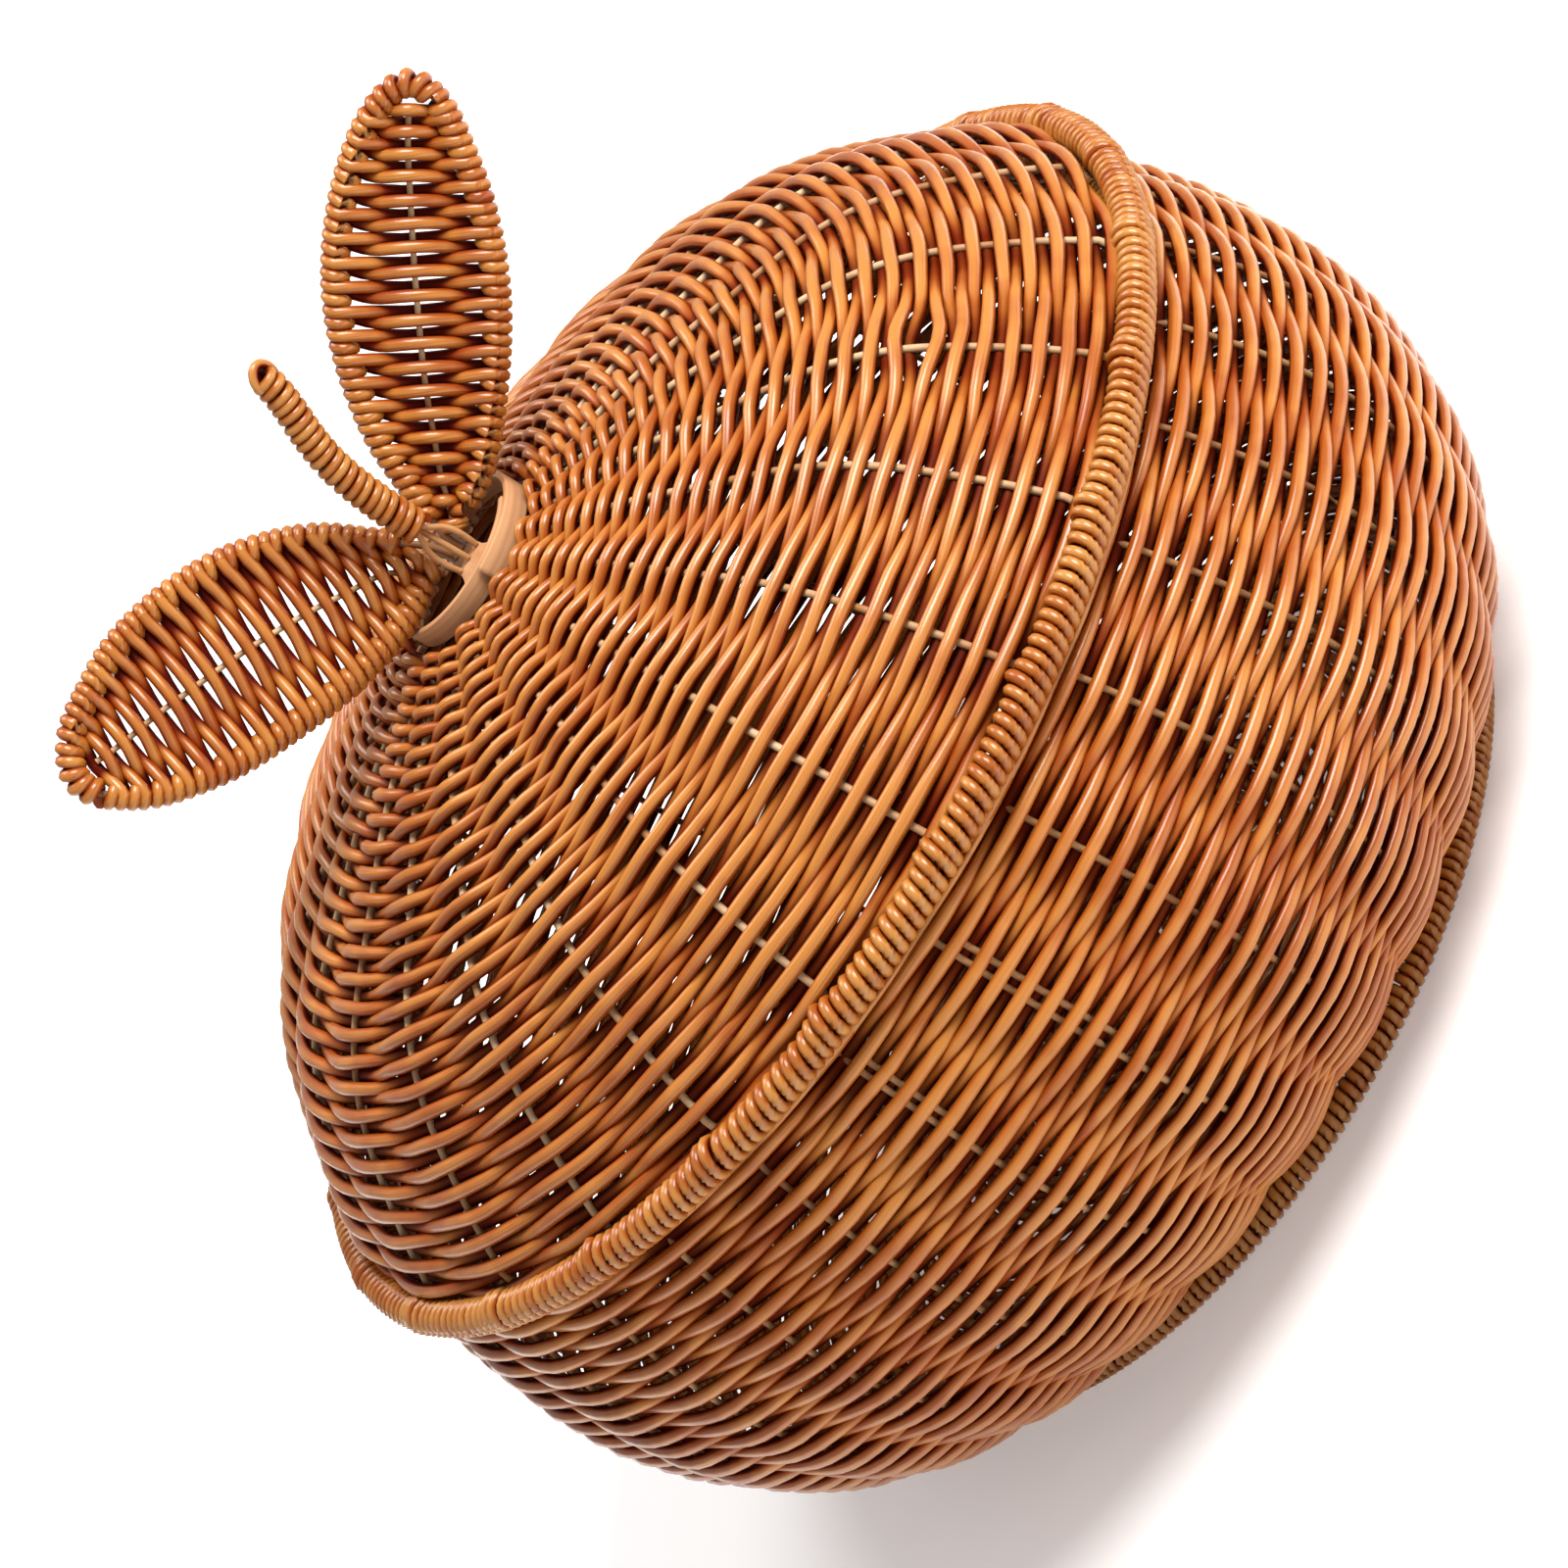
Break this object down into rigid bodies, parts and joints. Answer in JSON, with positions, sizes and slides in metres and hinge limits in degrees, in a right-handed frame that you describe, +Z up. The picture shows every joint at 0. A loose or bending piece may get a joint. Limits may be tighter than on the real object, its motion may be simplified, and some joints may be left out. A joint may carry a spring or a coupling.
{
  "type": "lidded round storage basket",
  "caption": "Round woven storage basket on a wrapped foot, with a domed lift-off lid that carries a flat top ring, a wound stem and woven leaves.",
  "frame": {"origin": "middle of the flat underside of the foot ring, on the surface the basket stands on", "axes": "+Z up along the axis of the bowl and the lid, -Y towards the front where the end of the top ring's strip shows, +X to the right"},
  "size_m": [0.305, 0.305, 0.2659],
  "materials": {
    "wall_strand": "glossy honey and orange-brown round strand, redder and darker in the gaps",
    "leaf_strand": "glossy orange-brown round strand, dark red-brown on its rear passes",
    "wrap_strand": "glossy honey strand wound close, with peach highlights",
    "stake_wire": "cream coated wire",
    "hoop_rod": "plain coated rod, hidden inside its wrap",
    "flat_strip": "matt beige split-cane strip"
  },
  "bodies": {
    "basket": {"bowl_weave": "wall_strand", "floor_weave": "wall_strand", "bowl_stakes": "stake_wire", "bowl_rim_rod": "hoop_rod", "bowl_rim_wrap": "wrap_strand", "foot_rod": "hoop_rod", "foot_wrap": "wrap_strand"},
    "lid": {"lid_weave": "wall_strand", "lid_stakes": "stake_wire", "lid_rim_rod": "hoop_rod", "lid_rim_wrap": "wrap_strand", "lid_top_ring": "flat_strip", "lid_cross_bar": "flat_strip", "left_stem_wire": "stake_wire", "middle_stem_wire": "stake_wire", "right_stem_wire": "stake_wire", "stem_winding": "wrap_strand", "stem_knot": "wrap_strand", "left_leaf_frame": "stake_wire", "left_leaf_rib": "stake_wire", "left_leaf_weave": "leaf_strand", "right_leaf_frame": "stake_wire", "right_leaf_rib": "stake_wire", "right_leaf_weave": "leaf_strand"}
  },
  "joints": [
    {"name": "lid_lift", "type": "slide", "parent": "basket", "child": "lid", "axis": [0, 0, 1], "range_m": [0, 0.15]}
  ]
}
